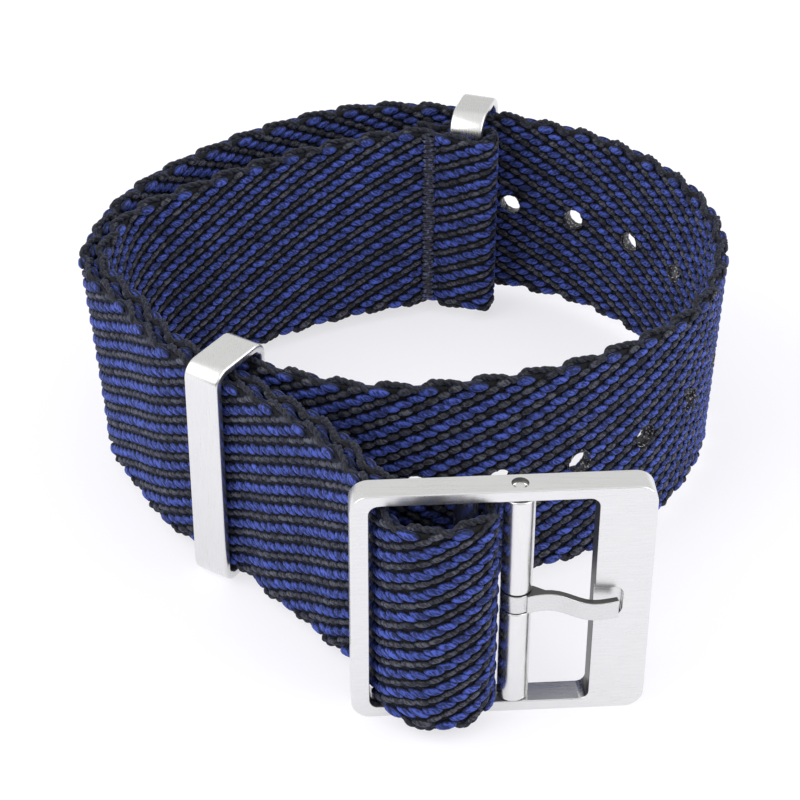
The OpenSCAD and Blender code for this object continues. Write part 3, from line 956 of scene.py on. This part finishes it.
def round_rectangle(wide, high, radius, per_corner):
    """Points of a rectangle with round corners, each with the direction it faces."""
    out = []
    for corner in range(4):
        for i in range(per_corner + 1):
            turn = math.radians(90 * (corner + i / per_corner))
            face = Vector((math.cos(turn), math.sin(turn)))
            middle = Vector(((wide / 2 - radius) * (1, -1, -1, 1)[corner],
                             (high / 2 - radius) * (1, 1, -1, -1)[corner]))
            out.append((middle + face * radius, face))
    return out


def strip_loop(name, place, length, depth, height, radius, material):
    """A strip round an opening of depth and height, standing on the ground at a station."""
    loop = round_rectangle(depth + WALL, height + WALL, radius - WALL / 2, 14)
    section = round_rectangle(length, WALL, WALL * STRIP_EDGE, 4)
    middle = height / 2 + WALL
    verts, faces = [], []
    for spot, out in loop:
        for across, _ in section:
            side = spot + out * across.y
            x, y, _ = shift(place, across.x, side.x)
            verts.append((x * MM, y * MM, (middle + side.y) * MM))
    many, ring = len(loop), len(section)
    for i in range(many):
        for j in range(ring):
            a, b = i * ring + j, i * ring + (j + 1) % ring
            shift_to = ((i + 1) % many - i) * ring
            faces.append((a, b, b + shift_to, a + shift_to))
    return solid_mesh(name, verts, faces, material)


keeper_place = shift(keeper_at, 0, KEEPER_DEPTH / 2 - KEEPER_GAP - BAND_T / 2)
keeper_place = (keeper_place[0], keeper_place[1], keeper_at[2] + KEEPER_SKEW)
keeper = strip_loop("keeper_strip", keeper_place, KEEPER_LEN, KEEPER_DEPTH, KEEPER_HEIGHT,
                    KEEPER_R, KEEPER_STEEL)
dress(keeper, "keeper", "hardware", "front_keeper")
ring_place = shift(pocket_mid, 0, (RING_DEPTH + WALL) / 2)
ring = strip_loop("ring_strip", ring_place, RING_LEN, RING_DEPTH, RING_HEIGHT, RING_R,
                  RING_STEEL)
dress(ring, "ring", "hardware", "rear_ring")

# %% [markdown]
# ## The buckle
# The CAD pieces have sharp edges, and real steel never has: a worn or tumbled edge catches a
# thin line of light. Each visible piece is copied from its node, merged, and its edges are
# rounded. The walls of the bores, of the right window and of the notch, and the tongue's narrow
# faces get a dark steel as painted shade. Hidden pieces only get steel.

# %% Edges that stay sharp, and faces in painted shade
MIDDLE_Z = 11.4  # half the height of the buckle
AXES = [in_buckle(x, 0, 0)[:2] for x in (0, BAR_PITCH)]
BORE_EDGE_R, BORE_R = 0.9, 0.75
WINDOW_FROM, NOTCH_TO, NOTCH_HALF = 9.0, 12.6, 2


def from_axes(middle):
    """Distance from the nearer of the two bars' axes."""
    return min(math.dist((middle.x, middle.y), axis) for axis in AXES)


def by_a_bore(edge):
    """True for the small edges round the bores of the two bars."""
    return from_axes(sum((v.co for v in edge.verts), Vector()) / 2 / MM) < BORE_EDGE_R


def in_painted_shade(node, face):
    """True for the faces that get the dark steel of painted shade: the walls of bores, of the right
    window and of the notch, and the tongue's narrow faces."""
    upright = abs(face.normal.z)
    if node == "tongue":
        return upright > 0.7
    turn = math.radians(BUCKLE[2])
    middle = face.center / MM
    x, y = middle.x - BUCKLE[0], middle.y - BUCKLE[1]
    across = x * math.cos(turn) + y * math.sin(turn)
    faces_x = face.normal.x * math.cos(turn) + face.normal.y * math.sin(turn)
    bore = from_axes(middle) < BORE_R and upright < 0.5
    notch = upright > 0.6 and abs(middle.z - MIDDLE_Z) < NOTCH_HALF
    return bore or (WINDOW_FROM < across < NOTCH_TO and (faces_x < -0.6 or notch))


# %% Round the edges of a copy
MERGE, FLAT, SHARP, ROUND_STEPS = 0.002 * MM, math.radians(1.0), 0.6, 4


def softened(node, name, width, material):
    bm = bmesh.new()
    bm.from_mesh(bpy.data.objects[node].data)
    bmesh.ops.remove_doubles(bm, verts=bm.verts, dist=MERGE)
    bmesh.ops.dissolve_limit(bm, angle_limit=FLAT, verts=bm.verts, edges=bm.edges)
    sharp = [e for e in bm.edges if len(e.link_faces) == 2 and e.calc_face_angle() > SHARP]
    if node == "buckle_frame":
        sharp = [e for e in sharp if not by_a_bore(e)]
    bmesh.ops.bevel(bm, geom=sharp, offset=width * MM, segments=ROUND_STEPS, profile=0.5,
                    affect="EDGES", clamp_overlap=True)
    for face in bm.faces:
        face.smooth = True
    mesh = bpy.data.meshes.new(name)
    bm.to_mesh(mesh)
    bm.free()
    mesh.materials.append(material)
    # The faces in painted shade get the dark steel.
    if node in ("buckle_frame", "tongue"):
        mesh.materials.append(PAINTED_SHADE_STEEL)
        for face in mesh.polygons:
            face.material_index = int(in_painted_shade(node, face))
    made = linked(name, mesh)
    weighted = made.modifiers.new("weighted", "WEIGHTED_NORMAL")
    weighted.weight = 90
    bpy.context.view_layer.update()
    evaluated = made.evaluated_get(bpy.context.evaluated_depsgraph_get())
    made.data = bpy.data.meshes.new_from_object(evaluated)
    made.modifiers.clear()
    print(name, len(made.data.polygons), "faces")
    return made


SOFT = [
    ("buckle_frame", "frame_soft", "buckle", 0.26, FRAME_STEEL),
    ("upper_sleeve", "upper_sleeve_soft", "upper_tube", 0.15, TUBE_STEEL),
    ("lower_sleeve", "lower_sleeve_soft", "lower_tube", 0.15, TUBE_STEEL),
    ("tongue", "tongue_soft", "tongue", 0.1, TONGUE_STEEL),
]
for node, name, body, width, material in SOFT:
    dress(softened(node, name, width, material), body, "hardware", node)

for node in ("strap_bar", "spring_bar_body", "spring_bar_upper_tip", "spring_bar_lower_tip"):
    for slot in bpy.data.objects[node].material_slots:
        slot.material = TUBE_STEEL

# %% [markdown]
# The spring inside the spring bar is a coil of wire, which the CAD model shows as a sleeve. Both
# tips press on it, each from its own end, so the coil is made in two halves that meet in the
# middle.

# %% Coil the spring
COIL_R, WIRE_R, COIL_PITCH, COIL_STEPS, WIRE_SIDES = 0.42, 0.1, 0.48, 24, 6
SPRING_LOW, SPRING_HIGH, PRESS = 3.0, 19.8, 0.9
SPRING_X, SPRING_Y = AXES[1]


def coil_half(name, low, high, material):
    """A coil of round wire from one height to another, closed at both ends."""
    climb = high - low - 2 * WIRE_R
    count = round(climb / COIL_PITCH * COIL_STEPS)
    verts = []
    for i in range(count + 1):
        turn = 2 * math.pi * i / COIL_STEPS
        for j in range(WIRE_SIDES):
            round_wire = 2 * math.pi * j / WIRE_SIDES
            away = COIL_R + WIRE_R * math.cos(round_wire)
            z = low + WIRE_R + climb * i / count
            verts.append(((SPRING_X + away * math.cos(turn)) * MM,
                          (SPRING_Y + away * math.sin(turn)) * MM,
                          (z + WIRE_R * math.sin(round_wire)) * MM))
    last = count * WIRE_SIDES
    faces = [tuple(range(WIRE_SIDES)), tuple(range(last + WIRE_SIDES - 1, last - 1, -1))]
    for i in range(count):
        for j in range(WIRE_SIDES):
            a, b = i * WIRE_SIDES + j, i * WIRE_SIDES + (j + 1) % WIRE_SIDES
            faces.append((a, a + WIRE_SIDES, b + WIRE_SIDES, b))
    return solid_mesh(name, verts, faces, material)


HALVES = [
    ("spring_upper_half", MIDDLE_Z, SPRING_HIGH, "upper_tip_press", ["spring_bar_spring"]),
    ("spring_lower_half", SPRING_LOW, MIDDLE_Z, "lower_tip_press", []),
]
for name, low, high, joint, nodes in HALVES:
    half = coil_half(name, low, high, TUBE_STEEL)
    dress(half, "buckle", "bar", *nodes)
    SPRING_X * MM
    SPRING_Y * MM
    1 - PRESS / (high - low)
    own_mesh(half)

# %% [markdown]
# ## Stage and light
# The photo has a white ground and a very even light from above, with a faint shadow under the
# strap. Two large soft lamps, one at each side, and a white world give this. White paper in a
# light tent also glows by itself, so part of the floor's white is its own light, and the rest
# takes the shadow.

# %% The floor and the cards
FLOOR_HALF, FLOOR_Z = 1.5, -0.00002
FLOOR_COLOUR, FLOOR_LIGHT, FLOOR_GLOW = (0.36, 0.355, 0.38, 1), (0.99, 0.98, 1.0, 1), 0.655
CARD_HALF = 1.2


def sheet(name, corners, colour, light, glow):
    """One flat face that also gives light of its own."""
    mesh = bpy.data.meshes.new(name)
    mesh.from_pydata(corners, [], [(0, 1, 2, 3)])
    made, _, surface = new_material(name)
    surface.inputs["Base Color"].default_value = colour
    surface.inputs["Emission Color"].default_value = light
    surface.inputs["Emission Strength"].default_value = glow
    mesh.materials.append(made)
    return linked(name, mesh), surface


def add_floor():
    a = FLOOR_HALF
    corners = [(x, y, FLOOR_Z) for x, y in ((-a, -a), (a, -a), (a, a), (-a, a))]
    floor, surface = sheet("floor", corners, FLOOR_COLOUR, FLOOR_LIGHT, FLOOR_GLOW)
    surface.inputs["Roughness"].default_value = 0.9
    surface.inputs["Specular IOR Level"].default_value = 0.0


def add_card(name, y, low, high, glow):
    """An upright card that only the steel sees, as the dark room or grey paper round a table."""
    a = CARD_HALF
    corners = [(x, y, z) for x, z in ((-a, low), (a, low), (a, high), (-a, high))]
    card, _ = sheet(name, corners, (0, 0, 0, 1), (1, 1, 1, 1), glow)
    card.visible_camera = False
    card.visible_diffuse = False
    card.visible_shadow = False


add_floor()
add_card("grey_back", 0.8, 0.02, 1.5, 0.76)
add_card("dark_front", -0.8, 0.02, 0.30, 0.05)

# %% The world and the lamps
WORLD_COLOUR, WORLD_LIGHT = (0.97, 0.98, 1.0, 1), 0.86
AIM = Vector((0, 0, 0.01))
LAMP_SIZE = (0.5, 0.35)

world = bpy.data.worlds.new("world")
bpy.context.scene.world = world
world.use_nodes = True
world.node_tree.nodes.clear()
sky = Graph(world.node_tree)
rays = sky.node("ShaderNodeLightPath")
lighting = sky.node("ShaderNodeBackground", values={0: WORLD_COLOUR, 1: WORLD_LIGHT})
seen = sky.node("ShaderNodeBackground", values={0: (1, 1, 1, 1), 1: 1.0})
either = sky.larger(rays.outputs["Is Camera Ray"], rays.outputs["Is Glossy Ray"])
blend = sky.node("ShaderNodeMixShader",
                 values={0: either, 1: lighting.outputs[0], 2: seen.outputs[0]})
sky.node("ShaderNodeOutputWorld", values={0: blend.outputs[0]})


def softbox(name, place, power):
    data = bpy.data.lights.new(name, "AREA")
    data.shape = "RECTANGLE"
    data.size, data.size_y = LAMP_SIZE
    data.energy = power
    lamp = linked(name, data)
    lamp.location = place
    lamp.rotation_euler = (AIM - lamp.location).to_track_quat("-Z", "Y").to_euler()


softbox("softbox_left", (-0.34, -0.12, 0.30), 1.3)
softbox("softbox_right", (0.38, -0.12, 0.24), 0.9)
bpy.context.scene.view_settings.view_transform = "Standard"
print("lamps:", len(bpy.data.lights))

# %% [markdown]
# ## Finish
# The route that led the cloth is removed.

# %% Remove the route and finish
bpy.data.objects.remove(route_object)
